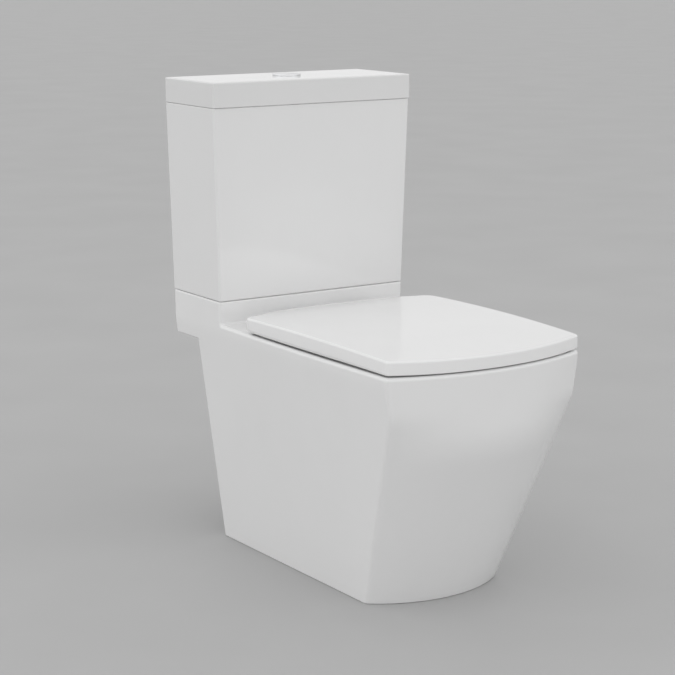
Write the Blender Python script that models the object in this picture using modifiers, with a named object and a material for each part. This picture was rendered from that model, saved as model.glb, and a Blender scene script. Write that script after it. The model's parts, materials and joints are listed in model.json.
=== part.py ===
"""Close coupled toilet: a hollow ceramic pan with a shelf, a cistern and its lid, a seat and flushing gear.

Metres, +Z up. The origin is on the floor at the middle of the footprint, and the front faces -Y.
Depths in the constants are measured forward from the wall that the cistern stands against.
"""

import math

import bmesh
import bpy
from mathutils import Vector

# Overall
DEPTH = 0.6665
GAP = 0.0003
WALL_Y = DEPTH / 2

# Pan
RIM_Z = 0.390
DECK_UNDER_Z = 0.372
PAN_BACK = 0.0724
PAN_WALL = 0.011
PAN_FLOOR_REAR, PAN_FLOOR_FRONT = 0.1306, 0.1281
CORNER_FLOOR, CORNER_SLOPE, CORNER_RIM = 0.4995, 0.397, 0.628
FRONT_FLOOR, FRONT_SLOPE, FRONT_RIM = 0.5441, 0.445, DEPTH
PAN_SIDE = ((0.0724, 0.1822), (0.153, 0.1827), (0.28, 0.1852), (0.40, 0.1860), (0.52, 0.1848),
            (0.628, 0.1821))

# Shelf under the cistern
SHELF_Z = (0.3531, 0.4278)
SHELF_DEPTH = 0.1544
SHELF_SIDE = ((0.3531, 0.1790), (0.390, 0.1822), (0.4278, 0.1829))
SHELF_WALL = 0.010

# Bowl: height, middle's depth, half length, half width
OPENING = (0.4468, 0.172, 0.128)
BOWL = (
    (0.377, 0.4468, 0.200, 0.155),
    (0.345, 0.4468, 0.199, 0.153),
    (0.310, 0.446, 0.184, 0.143),
    (0.270, 0.445, 0.160, 0.123),
    (0.230, 0.441, 0.131, 0.099),
    (0.195, 0.435, 0.104, 0.078),
    (0.160, 0.423, 0.079, 0.059),
    (0.130, 0.411, 0.058, 0.043),
    (0.112, 0.405, 0.038, 0.028),
    (0.104, 0.404, 0.016, 0.012),
)
BOWL_WALL = 0.011
FLANGE = (0.352, 0.010)

# Waterways: depth and height along each middle line
TRAP_RADIUS = (0.034, 0.045)
TRAP = ((0.392, 0.146), (0.366, 0.133), (0.338, 0.133), (0.312, 0.146), (0.292, 0.172), (0.274, 0.207),
        (0.255, 0.240), (0.229, 0.262), (0.196, 0.266), (0.166, 0.249), (0.140, 0.221), (0.112, 0.197),
        (0.082, 0.187), (0.052, 0.185))
SPIGOT_END = 0.018
SPIGOT_RADIUS = (0.041, 0.051)
HORN_RADIUS = (0.026, 0.035)
HORN = ((0.0764, 0.400), (0.0775, 0.383), (0.086, 0.367), (0.103, 0.357), (0.130, 0.353), (0.262, 0.351))

# Cistern
FLUSH_Y = 0.0764
CISTERN_Z = (0.4283, 0.7450)
CISTERN_HALF = (0.1826, 0.1928)
CISTERN_DEPTH = (0.1548, 0.1586)
CISTERN_WALL, CISTERN_FLOOR = 0.009, 0.4403
LID_Z = (0.7453, 0.7863)
LID_HALF, LID_DEPTH, LID_WALL = 0.1933, 0.1606, 0.009
BUTTON_Y = 0.0726

# Fixings
COUPLING_X, INLET_X = 0.078, -0.132
FLOAT_PIVOT_X, FLOAT_PIVOT_Z = INLET_X + 0.025, 0.659
SEAT_BOLT = (0.0775, 0.189)

# Seat
AXIS_Y, AXIS_Z = 0.2185, 0.4040
SEAT_LID_Z, SEAT_RING_Z = 0.3925, (0.3960, 0.4070)
SEAT_SIDE = ((0.254, 0.1855), (0.32, 0.1862), (0.40, 0.1861), (0.48, 0.1852), (0.56, 0.1831),
             (0.6280, 0.1808))
SEAT_REAR = ((0.0, 0.2057), (0.04, 0.2068), (0.0775, 0.2088), (0.105, 0.2120), (0.132, 0.2172),
             (0.160, 0.2280))
SEAT_FRONT = (0.6280, 0.6665)
SEAT_WALL = 0.0045
SEAT_HOLE = (0.452, 0.152, 0.115)
NOSE_RELIEF = (0.056, 0.2112, 0.3995)

GLAZE = (0.86, 0.86, 0.85)


def wall_y(depth):
    """World Y of a depth measured forward from the wall."""
    return WALL_Y - depth


def clear_scene():
    for obj in list(bpy.data.objects):
        bpy.data.objects.remove(obj)


def new_collection(name, hidden=False):
    made = bpy.data.collections.new(name)
    made.hide_render = hidden
    bpy.context.scene.collection.children.link(made)
    return made


def material(name, color, roughness, metallic=0.0, coat=0.0):
    made = bpy.data.materials.new(name)
    made.use_nodes = True
    shader = made.node_tree.nodes["Principled BSDF"]
    shader.inputs["Base Color"].default_value = (*color, 1.0)
    shader.inputs["Roughness"].default_value = roughness
    shader.inputs["Metallic"].default_value = metallic
    shader.inputs["Coat Weight"].default_value = coat
    return made


def add_mesh(name, vertices, faces, where):
    """A mesh object from points and faces, turned to face outwards."""
    mesh = bpy.data.meshes.new(name)
    mesh.from_pydata([tuple(v) for v in vertices], [], faces)
    work = bmesh.new()
    work.from_mesh(mesh)
    bmesh.ops.recalc_face_normals(work, faces=work.faces)
    work.to_mesh(mesh)
    work.free()
    obj = bpy.data.objects.new(name, mesh)
    where.objects.link(obj)
    return obj


def loft(name, rings, where):
    """A closed body through rings that share one point count, capped at both ends."""
    count = len(rings[0])
    vertices = [point for ring in rings for point in ring]
    faces = [list(range(count)), list(range(len(vertices) - count, len(vertices)))]
    for level in range(len(rings) - 1):
        for i in range(count):
            after = (i + 1) % count
            low, high = level * count, (level + 1) * count
            faces.append((low + i, low + after, high + after, high + i))
    return add_mesh(name, vertices, faces, where)


def turned(name, profile, center, where, steps=20):
    """A closed profile of (radius, height) turned about the vertical through center by a Screw modifier."""
    on_axis = [p for p in profile if p[0] == 0.0]
    closed = not on_axis
    edges = [(i, i + 1) for i in range(len(profile) - 1)]
    if closed:
        edges.append((len(profile) - 1, 0))
    mesh = bpy.data.meshes.new(name)
    mesh.from_pydata([(r, 0.0, z) for r, z in profile], edges, [])
    obj = bpy.data.objects.new(name, mesh)
    obj.location = (center[0], wall_y(center[1]), 0.0)
    where.objects.link(obj)
    screw = obj.modifiers.new("Turn", "SCREW")
    screw.axis = "Z"
    screw.steps = steps
    screw.render_steps = steps
    screw.use_merge_vertices = True
    screw.merge_threshold = 0.00001
    screw.use_smooth_shade = True
    return obj


def drum(name, radius, low, high, center, where, steps=24):
    """A solid cylinder standing on the vertical through center."""
    return turned(name, [(0.0, high), (radius, high), (radius, low), (0.0, low)], center, where, steps)


def washer(name, inner, outer, low, high, center, where, steps=16):
    profile = [(inner, high), (outer, high), (outer, low), (inner, low)]
    return turned(name, profile, center, where, steps)


def box(name, low, high, where, bevel=0.0):
    """A box between two corners given as (x, depth, z)."""
    x0, x1 = low[0], high[0]
    y0, y1 = wall_y(high[1]), wall_y(low[1])
    z0, z1 = low[2], high[2]
    mesh = bpy.data.meshes.new(name)
    work = bmesh.new()
    bmesh.ops.create_cube(work, size=1.0)
    for vertex in work.verts:
        vertex.co.x = x0 + (vertex.co.x + 0.5) * (x1 - x0)
        vertex.co.y = y0 + (vertex.co.y + 0.5) * (y1 - y0)
        vertex.co.z = z0 + (vertex.co.z + 0.5) * (z1 - z0)
    work.to_mesh(mesh)
    work.free()
    obj = bpy.data.objects.new(name, mesh)
    where.objects.link(obj)
    if bevel:
        soften(obj, bevel)
    return obj


def soften(obj, width, segments=1):
    bevel = obj.modifiers.new("Edges", "BEVEL")
    bevel.width = width
    bevel.segments = segments
    bevel.limit_method = "ANGLE"


def cross_rod(name, radius, x0, x1, depth, height, where, sides=16):
    """A cylinder lying along X."""
    mesh = bpy.data.meshes.new(name)
    work = bmesh.new()
    bmesh.ops.create_cone(work, cap_ends=True, segments=sides, radius1=radius, radius2=radius,
                          depth=abs(x1 - x0))
    for vertex in work.verts:
        along, across, up = vertex.co.z, vertex.co.x, vertex.co.y
        vertex.co = Vector(((x0 + x1) / 2 + along, wall_y(depth) + across, height + up))
    work.to_mesh(mesh)
    work.free()
    obj = bpy.data.objects.new(name, mesh)
    where.objects.link(obj)
    return obj


def pipe(name, path, radius, where, resolution=4):
    """A round solid swept along (depth, height) points in the middle plane, through a bevelled curve."""
    curve = bpy.data.curves.new(name, "CURVE")
    curve.dimensions = "3D"
    curve.bevel_depth = radius
    curve.bevel_resolution = resolution
    curve.use_fill_caps = True
    spline = curve.splines.new("POLY")
    spline.points.add(len(path) - 1)
    for point, (depth, height) in zip(spline.points, path):
        point.co = (0.0, wall_y(depth), height, 1.0)
    guide = bpy.data.objects.new(name + "_guide", curve)
    where.objects.link(guide)
    bpy.context.view_layer.update()
    mesh = bpy.data.meshes.new_from_object(guide.evaluated_get(bpy.context.evaluated_depsgraph_get()))
    bpy.data.objects.remove(guide)
    work = bmesh.new()
    work.from_mesh(mesh)
    bmesh.ops.remove_doubles(work, verts=work.verts, dist=0.00001)
    bmesh.ops.recalc_face_normals(work, faces=work.faces)
    work.to_mesh(mesh)
    work.free()
    obj = bpy.data.objects.new(name, mesh)
    where.objects.link(obj)
    return obj


def combine(target, other, operation):
    other.hide_render = True
    other.display_type = "WIRE"
    modifier = target.modifiers.new(operation.title(), "BOOLEAN")
    modifier.operation = operation
    modifier.solver = "EXACT"
    modifier.object = other


def cut(target, *others):
    for other in others:
        combine(target, other, "DIFFERENCE")


def join(target, *others):
    for other in others:
        combine(target, other, "UNION")


def finish(obj, look, angle=35.0):
    obj.data.materials.clear()
    obj.data.materials.append(look)
    for polygon in obj.data.polygons:
        polygon.use_smooth = True
    obj.data.set_sharp_from_angle(angle=math.radians(angle))
    return obj


def between(table, at):
    """Value at a position in a table of (position, value) pairs, by straight steps."""
    if at <= table[0][0]:
        return table[0][1]
    for (a, first), (b, second) in zip(table, table[1:]):
        if at <= b:
            return first + (second - first) * (at - a) / (b - a)
    return table[-1][1]


def soft_least(a, b, blend):
    """The lesser of two, rounded off where they cross."""
    share = max(blend - abs(a - b), 0.0) / blend
    return min(a, b) - share * share * blend / 4


def rounded(before, corner, after, steps=4):
    """Points that round off a corner between two points."""
    points = []
    for i in range(steps + 1):
        t = i / steps
        ends = [(1 - t) ** 2 * p + t * t * q for p, q in zip(before, after)]
        points.append([e + 2 * t * (1 - t) * c for e, c in zip(ends, corner)])
    return points


def front_arc(half, corner, middle, fillet, steps=6):
    """Half of a bowed front, as (x, depth) from the side to the middle, with its corner rounded off."""
    rise = middle - corner
    radius = (half * half + rise * rise) / (2 * rise)

    def depth(x):
        return middle - radius + math.sqrt(radius * radius - x * x)

    inner = half - fillet
    points = rounded((half, corner - fillet), (half, corner), (inner, depth(inner)))
    points += [(inner * (1 - i / steps), depth(inner * (1 - i / steps))) for i in range(1, steps + 1)]
    return points


def mirrored(half_outline):
    """A closed outline from its right half, which runs from the rear to the middle of the front."""
    left = [(-x, depth) for x, depth in reversed(half_outline) if x > 1e-9]
    return list(half_outline) + left


def level(outline, z):
    return [(x, wall_y(depth), z) for x, depth in outline]


def pan_lean(z):
    """How far up the lean of the pan's sides a height is: 0 at the floor, 1 at the rim."""
    return between(((0.0, 0.0), (SHELF_Z[0], 0.937), (RIM_Z, 1.0)), z)


def pan_outline(z, inset=0.0, back=PAN_BACK):
    height = max(z, 0.0)
    corner = soft_least(CORNER_FLOOR + CORNER_SLOPE * height, CORNER_RIM, 0.005) - inset
    middle = soft_least(FRONT_FLOOR + FRONT_SLOPE * height, FRONT_RIM, 0.013) - inset
    lean = pan_lean(height)
    side = []
    for i in range(7):
        share = i / 6
        floor = PAN_FLOOR_REAR + (PAN_FLOOR_FRONT - PAN_FLOOR_REAR) * share
        rim = between(PAN_SIDE, PAN_BACK + (CORNER_RIM - PAN_BACK) * share)
        half = floor + (rim - floor) * lean - inset
        side.append((half, back + (corner - back) * share))
    return mirrored(side[:-1] + front_arc(side[-1][0], corner, middle, 0.0048))


def pan_shell(where):
    heights = ((0.0, 0.0010), (0.0005, 0.0003), (0.0014, 0.0), (0.10, 0.0), (0.20, 0.0), (0.245, 0.0),
               (0.262, 0.0), (0.276, 0.0), (0.290, 0.0), (0.306, 0.0), (0.320, 0.0), (0.334, 0.0),
               (SHELF_Z[0], 0.0), (0.3862, 0.0), (0.3888, 0.0011), (RIM_Z, 0.0036))
    return loft("pan", [level(pan_outline(z, inset), z) for z, inset in heights], where)


def box_ring(half, near, far, radii, z, inset=0.0, steps=3):
    """A level rounded rectangle from depth near to depth far, with its rear and front corner radii."""
    half, near, far = half - inset, near + inset, far - inset
    rear, front = [max(radius - inset, 0.0006) for radius in radii]
    corners = ((half, far, 0.0), (-half, far, 90.0), (-half, near, 180.0), (half, near, 270.0))
    points = []
    for x, depth, start in corners:
        radius = front if depth == far else rear
        middle_x = x - math.copysign(radius, x)
        middle_depth = depth - radius if depth == far else depth + radius
        for i in range(steps + 1):
            angle = math.radians(start + 90.0 * i / steps)
            points.append((middle_x + radius * math.cos(angle), middle_depth + radius * math.sin(angle)))
    return level(points, z)


def oval_ring(middle, half_length, half_width, z, count=30, power=2.5):
    points = []
    for i in range(count):
        angle = 2 * math.pi * i / count
        across, along = math.cos(angle), math.sin(angle)
        x = math.copysign(abs(across) ** (2 / power), across) * half_width
        depth = middle + math.copysign(abs(along) ** (2 / power), along) * half_length
        points.append((x, depth))
    return level(points, z)


def shelf(where):
    low, high = SHELF_Z
    rings = []
    edges = ((low, 0.005), (low + 0.0015, 0.002), (low + 0.005, 0.0), (high - 0.0025, 0.0), (high, 0.002))
    for z, inset in edges:
        rings.append(box_ring(between(SHELF_SIDE, z), 0.0, SHELF_DEPTH, (0.004, 0.005), z, inset))
    return loft("shelf", rings, where)


def bowl_body(name, extra, where):
    rings = []
    for z, middle, length, width in BOWL:
        rings.append(oval_ring(middle, length + extra, width + extra, z - extra * (z < 0.3)))
    return loft(name, rings, where)


def under_hollow(where):
    lower = (-0.02, 0.0, 0.235, 0.275, 0.305, 0.342)
    skirt = loft("skirt_hollow", [level(pan_outline(z, PAN_WALL, -0.03), z) for z in lower], where)
    upper = [0.336, SHELF_Z[0], DECK_UNDER_Z]
    deck = loft("deck_hollow", [level(pan_outline(z, PAN_WALL, 0.10), z) for z in upper], where)
    inner = SHELF_SIDE[0][1] - SHELF_WALL
    top = SHELF_Z[1] - SHELF_WALL
    rings = [box_ring(inner, SHELF_WALL, SHELF_DEPTH - SHELF_WALL, (0.003, 0.003), z) for z in (0.330, top)]
    return skirt, deck, loft("shelf_hollow", rings, where)


def build_pan(where, cutters, look):
    pan = pan_shell(where)
    join(pan, shelf(cutters))
    cut(pan, *under_hollow(cutters))
    spigot = ((TRAP[-1][0] + 0.01, 0.185), (SPIGOT_END, 0.185))
    center = (0.0, FLUSH_Y)
    join(pan, bowl_body("bowl_outside", BOWL_WALL, cutters))
    join(pan, pipe("trap_outside", TRAP, TRAP_RADIUS[1], cutters))
    join(pan, pipe("spigot_outside", spigot, SPIGOT_RADIUS[1], cutters, 6))
    join(pan, pipe("horn_outside", HORN, HORN_RADIUS[1], cutters))
    join(pan, drum("horn_boss", 0.060, 0.388, 0.420, center, cutters))
    join(pan, *(foot(side, cutters) for side in (-1, 1)))
    cut(pan, bowl_body("bowl_inside", 0.0, cutters))
    middle, length, width = OPENING
    wide = [oval_ring(middle, length + FLANGE[1], width + FLANGE[1], z) for z in (FLANGE[0], 0.383)]
    join(pan, loft("rim_flange", wide, cutters))
    mouth = [oval_ring(middle, length + grow, width + grow, z) for z, grow in
             ((0.340, 0.0), (0.3845, 0.0), (0.3885, 0.0015), (0.3905, 0.0045), (0.400, 0.0045))]
    cut(pan, loft("rim_mouth", mouth, cutters))
    bore = ((TRAP[-1][0] + 0.02, 0.185), (SPIGOT_END - 0.01, 0.185))
    cut(pan, pipe("trap_inside", TRAP, TRAP_RADIUS[0], cutters))
    cut(pan, pipe("spigot_inside", bore, SPIGOT_RADIUS[0], cutters, 6))
    cut(pan, pipe("horn_inside", HORN, HORN_RADIUS[0], cutters))
    cut(pan, drum("inlet_seat", 0.0500, 0.3980, 0.44, center, cutters, 32))
    cut(pan, drum("inlet_throat", 0.0315, 0.384, 0.41, center, cutters))
    for side in (-1, 1):
        cut(pan, drum("coupling_hole", 0.0065, 0.40, 0.44, (side * COUPLING_X, FLUSH_Y), cutters, 12))
        cut(pan, drum("seat_hole", 0.0070, 0.35, 0.40, (side * SEAT_BOLT[0], SEAT_BOLT[1]), cutters, 12))
        cut(pan, drum("foot_hole", 0.0045, -0.01, 0.03, (side * 0.098, 0.105), cutters, 12))
    cut(pan, drum("tail_hole", 0.0200, 0.40, 0.44, (INLET_X, FLUSH_Y), cutters, 16))
    return finish(pan, look)


def foot(side, where):
    """A lug inside the skirt that takes a floor screw."""
    ends = sorted((side * 0.084, side * 0.126))
    return box("foot", (ends[0], 0.088, 0.0), (ends[1], 0.122, 0.014), where)


def build_cistern(where, cutters, look):
    def half(z):
        return between(((CISTERN_Z[0], CISTERN_HALF[0]), (CISTERN_Z[1], CISTERN_HALF[1])), z)

    def deep(z):
        return between(((CISTERN_Z[0], CISTERN_DEPTH[0]), (CISTERN_Z[1], CISTERN_DEPTH[1])), z)

    low, high = CISTERN_Z
    levels = ((low, 0.0028), (low + 0.0008, 0.0010), (low + 0.0028, 0.0), (high - 0.0012, 0.0),
              (high, 0.0010))
    rings = [box_ring(half(z), 0.0, deep(z), (0.002, 0.004), z, inset, 4) for z, inset in levels]
    cistern = loft("cistern", rings, where)
    inside = ((CISTERN_FLOOR, 0.006), (CISTERN_FLOOR + 0.006, 0.0), (high, 0.0), (high + 0.02, 0.0))
    wall = CISTERN_WALL
    rings = [box_ring(half(z), 0.0, deep(z), (0.014, 0.014), z, wall + more, 4) for z, more in inside]
    cut(cistern, loft("cistern_hollow", rings, cutters))
    cut(cistern, drum("valve_hole", 0.0325, 0.42, 0.45, (0.0, FLUSH_Y), cutters))
    cut(cistern, drum("inlet_hole", 0.0110, 0.42, 0.45, (INLET_X, FLUSH_Y), cutters, 16))
    for side in (-1, 1):
        cut(cistern, drum("bolt_hole", 0.0050, 0.42, 0.45, (side * COUPLING_X, FLUSH_Y), cutters, 12))
    return finish(cistern, look)


def build_cistern_lid(where, cutters, look):
    low, high = LID_Z
    levels = ((low, 0.0012), (low + 0.0012, 0.0), (high - 0.0034, 0.0), (high - 0.0010, 0.0010),
              (high, 0.0034))
    rings = [box_ring(LID_HALF, 0.0, LID_DEPTH, (0.002, 0.0036), z, i, 4) for z, i in levels]
    lid = loft("cistern_lid", rings, where)
    levels = ((low - 0.01, 0.0), (high - LID_WALL - 0.004, 0.0), (high - LID_WALL, 0.004))
    rings = [box_ring(LID_HALF, 0.0, LID_DEPTH, (0.016, 0.016), z, 0.0205 + i, 4) for z, i in levels]
    rib = [box_ring(LID_HALF, 0.0, LID_DEPTH, (0.012, 0.012), z, 0.0125, 4)
           for z in (low - 0.008, low + 0.02)]
    join(lid, loft("locating_rib", rib, cutters))
    cut(lid, loft("lid_hollow", rings, cutters))
    cut(lid, drum("button_hole", 0.0206, high - 0.02, high + 0.01, (0.0, BUTTON_Y), cutters, 24))
    return finish(lid, look)


def seat_top(depth):
    """Height of the crowned top of the seat's lid."""
    return between(((0.20, 0.4155), (0.27, 0.4172), (0.34, 0.4185), (0.41, 0.4190), (0.48, 0.4184),
                    (0.55, 0.4167), (0.61, 0.4148), (DEPTH, 0.4130)), depth)


def seat_outline(inset, fillet):
    corner, middle = SEAT_FRONT
    rear = [(x, depth + inset) for x, depth in SEAT_REAR]
    first = (rear[-1][0] - inset * 0.4, rear[-1][1])
    side_half = SEAT_SIDE[0][1] - inset
    turn = rounded(first, (side_half, first[1] + 0.001), (side_half, SEAT_SIDE[0][0] + inset * 0.4))
    side = [(half - inset, depth) for depth, half in SEAT_SIDE[1:-1]]
    front = front_arc(SEAT_SIDE[-1][1] - inset, corner - inset, middle - inset, fillet)
    return mirrored(rear[:-1] + turn + side + front)


def crowned(outline, drop):
    return [(x, wall_y(depth), seat_top(depth) - drop) for x, depth in outline]


def shrunk(outline, share):
    return [(x * share, 0.43 + (depth - 0.43) * share) for x, depth in outline]


def seat_cover(name, inset, fillet, bottom, drop, edge, where):
    """The seat lid's shape: a skirt from the bottom up to a crowned top with a rounded edge."""
    outline = seat_outline(inset, fillet)
    edges = [crowned(seat_outline(inset + edge * a, fillet), drop + edge * b) for a, b in
             ((0.0, 1.0), (0.12, 0.5), (0.45, 0.13), (1.0, 0.0))]
    inner = seat_outline(inset + edge, fillet)
    top = [crowned(shrunk(inner, share), drop) for share in (0.70, 0.36, 0.08)]
    return loft(name, bottom + edges + top, where)


def build_seat_lid(where, cutters, look):
    foot_edge = [level(seat_outline(inset, 0.005), SEAT_LID_Z + rise) for inset, rise in
                 ((0.0022, 0.0), (0.0006, 0.0007), (0.0, 0.0022))]
    lid = seat_cover("seat_lid", 0.0, 0.005, foot_edge, 0.0, 0.0034, where)
    below = [level(seat_outline(SEAT_WALL, 0.004), SEAT_LID_Z - 0.01)]
    cut(lid, seat_cover("seat_lid_hollow", SEAT_WALL, 0.004, below, SEAT_WALL, 0.0030, cutters))
    for side in (-1, 1):
        for inner, outer in ((0.0470, 0.0535), (0.1015, 0.1080)):
            ends = sorted((side * inner, side * outer))
            low, high = (ends[0], AXIS_Y - 0.006, AXIS_Z - 0.0055), (ends[1], AXIS_Y + 0.006, 0.4130)
            join(lid, box("boss", low, high, cutters))
        ends = sorted((side * 0.0535, side * 0.1015))
        low, high = (ends[0], 0.19, 0.38), (ends[1], AXIS_Y + 0.016, AXIS_Z + 0.0048)
        cut(lid, box("hinge_notch", low, high, cutters))
        cut(lid, cross_rod("hinge_room", 0.0064, ends[0], ends[1], AXIS_Y, AXIS_Z, cutters))
        ends = sorted((side * 0.040, side * 0.115))
        cut(lid, cross_rod("pin_bore", 0.0029, ends[0], ends[1], AXIS_Y, AXIS_Z, cutters, 12))
    low, high = (-NOSE_RELIEF[0], 0.19, 0.38), (NOSE_RELIEF[0], NOSE_RELIEF[1], NOSE_RELIEF[2])
    cut(lid, box("nose_relief", low, high, cutters))
    return finish(lid, look)


def build_seat_ring(where, cutters, look):
    low, high = SEAT_RING_Z
    levels = ((low, 0.0010), (low + 0.0010, 0.0), (high - 0.0030, 0.0), (high - 0.0008, 0.0010),
              (high, 0.0034))
    rings = [level(ring_outline(0.0085 + i), z) for z, i in levels]
    ring = loft("seat_ring", rings, where)
    middle, length, width = SEAT_HOLE
    levels = ((low - 0.01, 0.0), (high - 0.0055, 0.0), (high - 0.0016, 0.0012), (high, 0.0050),
              (high + 0.01, 0.0050))
    cut(ring, loft("seat_hole", [oval_ring(middle, length + g, width + g, z) for z, g in levels], cutters))
    for side in (-1, 1):
        for inner, outer in ((0.0575, 0.0645), (0.0905, 0.0975)):
            ends = sorted((side * inner, side * outer))
            join(ring, box("lug", (ends[0], AXIS_Y, AXIS_Z - 0.0045), (ends[1], 0.250, 0.4065), cutters))
            join(ring, cross_rod("lug_end", 0.0050, ends[0], ends[1], AXIS_Y, AXIS_Z, cutters))
        ends = sorted((side * 0.040, side * 0.115))
        cut(ring, cross_rod("lug_bore", 0.0029, ends[0], ends[1], AXIS_Y, AXIS_Z, cutters, 12))
    return finish(ring, look)


def ring_outline(inset):
    """The seat ring's outline: the lid's, set in, and stopped short of the hinge."""
    return [(x, max(depth, 0.2365 + inset - 0.0085)) for x, depth in seat_outline(inset, 0.012)]


def build_hinge(side, tag, where, cutters, looks):
    x = side * SEAT_BOLT[0]
    ends = sorted((side * 0.0660, side * 0.0890))
    low, high = (x - 0.0115, 0.180, RIM_Z + GAP), (x + 0.0115, AXIS_Y + 0.004, 0.3922)
    base = box("hinge_base_" + tag, low, high, where)
    join(base, drum("hinge_boss", 0.0130, RIM_Z + GAP, 0.4005, (x, SEAT_BOLT[1]), cutters))
    low, high = (ends[0], AXIS_Y - 0.0012, 0.3910), (ends[1], AXIS_Y + 0.0045, AXIS_Z)
    join(base, box("hinge_arm", low, high, cutters))
    join(base, cross_rod("hinge_barrel", 0.0050, ends[0], ends[1], AXIS_Y, AXIS_Z, cutters))
    cut(base, cross_rod("barrel_bore", 0.0029, ends[0] - 0.01, ends[1] + 0.01, AXIS_Y, AXIS_Z, cutters, 12))
    cut(base, drum("stud_bore", 0.0043, 0.38, 0.3985, (x, SEAT_BOLT[1]), cutters, 12))
    finish(base, looks["chrome"])
    ends = sorted((side * 0.0476, side * 0.1074))
    pin = cross_rod("hinge_pin_" + tag, 0.0026, ends[0], ends[1], AXIS_Y, AXIS_Z, where, 12)
    finish(pin, looks["steel"])
    spot = (x, SEAT_BOLT[1])
    finish(drum("hinge_stud_" + tag, 0.0040, 0.3450, 0.3982, spot, where, 12), looks["steel"])
    pad = washer("hinge_washer_" + tag, 0.0043, 0.0130, 0.3675, DECK_UNDER_Z - GAP, spot, where, 16)
    finish(pad, looks["rubber"])
    wing_nut("hinge_nut_" + tag, 0.0043, 0.3570, 0.3672, spot, where, cutters, looks["plastic"])


def wing_nut(name, bore, low, high, center, where, cutters, look):
    nut = washer(name, bore, bore + 0.0045, low, high, center, where, 12)
    for side in (-1, 1):
        ends = sorted((center[0] + side * (bore + 0.002), center[0] + side * (bore + 0.0125)))
        near, far = (ends[0], center[1] - 0.0012, low + 0.001), (ends[1], center[1] + 0.0012, high - 0.0005)
        join(nut, box("wing", near, far, cutters))
    finish(nut, look)


def build_buffers(where, looks):
    low, high = RIM_Z + GAP, SEAT_RING_Z[0] - GAP
    spots = {"rear_left": (-0.148, 0.330), "rear_right": (0.148, 0.330), "front_left": (-0.134, 0.575),
             "front_right": (0.134, 0.575)}
    for tag, spot in spots.items():
        profile = [(0.0, high), (0.0090, high), (0.0090, high - 0.0015), (0.0074, low), (0.0, low)]
        finish(turned("ring_buffer_" + tag, profile, spot, where, 16), looks["rubber"])
    low = SEAT_RING_Z[1] + GAP
    for tag, x in (("left", -0.146), ("right", 0.146)):
        high = seat_top(0.455) - SEAT_WALL - GAP
        profile = [(0.0, high), (0.0075, high), (0.0065, low), (0.0, low)]
        finish(turned("lid_buffer_" + tag, profile, (x, 0.455), where, 16), looks["rubber"])


def half_moon(name, radius, low, high, first, last, where):
    """Part of a round button between two X positions, with a softly domed edge."""
    rings = []
    for z, inset in ((low, 0.0), (high - 0.0012, 0.0), (high - 0.0003, 0.0004), (high, 0.0013)):
        points = []
        start, end = first + inset, last - inset
        small = radius - inset
        top = [(x, math.sqrt(max(small * small - x * x, 0.0))) for x in spread(start, end, small)]
        points += [(x, BUTTON_Y + y) for x, y in top]
        points += [(x, BUTTON_Y - y) for x, y in reversed(top) if y > 1e-6]
        rings.append(level(points, z))
    return loft(name, rings, where)


def spread(start, end, radius, steps=9):
    """X positions evenly spaced in angle round a circle, from start to end."""
    first = math.acos(max(-1.0, min(1.0, start / radius)))
    last = math.acos(max(-1.0, min(1.0, end / radius)))
    return [radius * math.cos(first + (last - first) * i / steps) for i in range(steps + 1)]


def build_buttons(where, cutters, looks):
    top = LID_Z[1]
    center = (0.0, BUTTON_Y)
    profile = [(0.0182, top + 0.0026), (0.0190, top + 0.0031), (0.0216, top + 0.0029), (0.0235, top + 0.0018),
               (0.0240, top + GAP), (0.0202, top + GAP), (0.0202, 0.7580), (0.0182, 0.7580)]
    finish(turned("button_bezel", profile, center, where, 32), looks["chrome"])
    under = top - LID_WALL - GAP
    nut = washer("button_nut", 0.0205, 0.0275, under - 0.008, under, center, where, 24)
    finish(nut, looks["plastic"])
    radius = 0.0179
    halves = (("full", -radius + 0.00001, 0.0038, -0.0085), ("half", 0.0044, radius - 0.00001, 0.0115))
    for tag, first, last, rod_x in halves:
        button = half_moon(tag + "_flush_button", radius, top - 0.0050, top + 0.0037, first, last, where)
        finish(button, looks["chrome"])
        low = 0.6880
        rod = drum(tag + "_flush_rod", 0.0030, low, top - 0.0050 - GAP, (rod_x, BUTTON_Y), where, 12)
        finish(rod, looks["plastic"])


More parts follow.
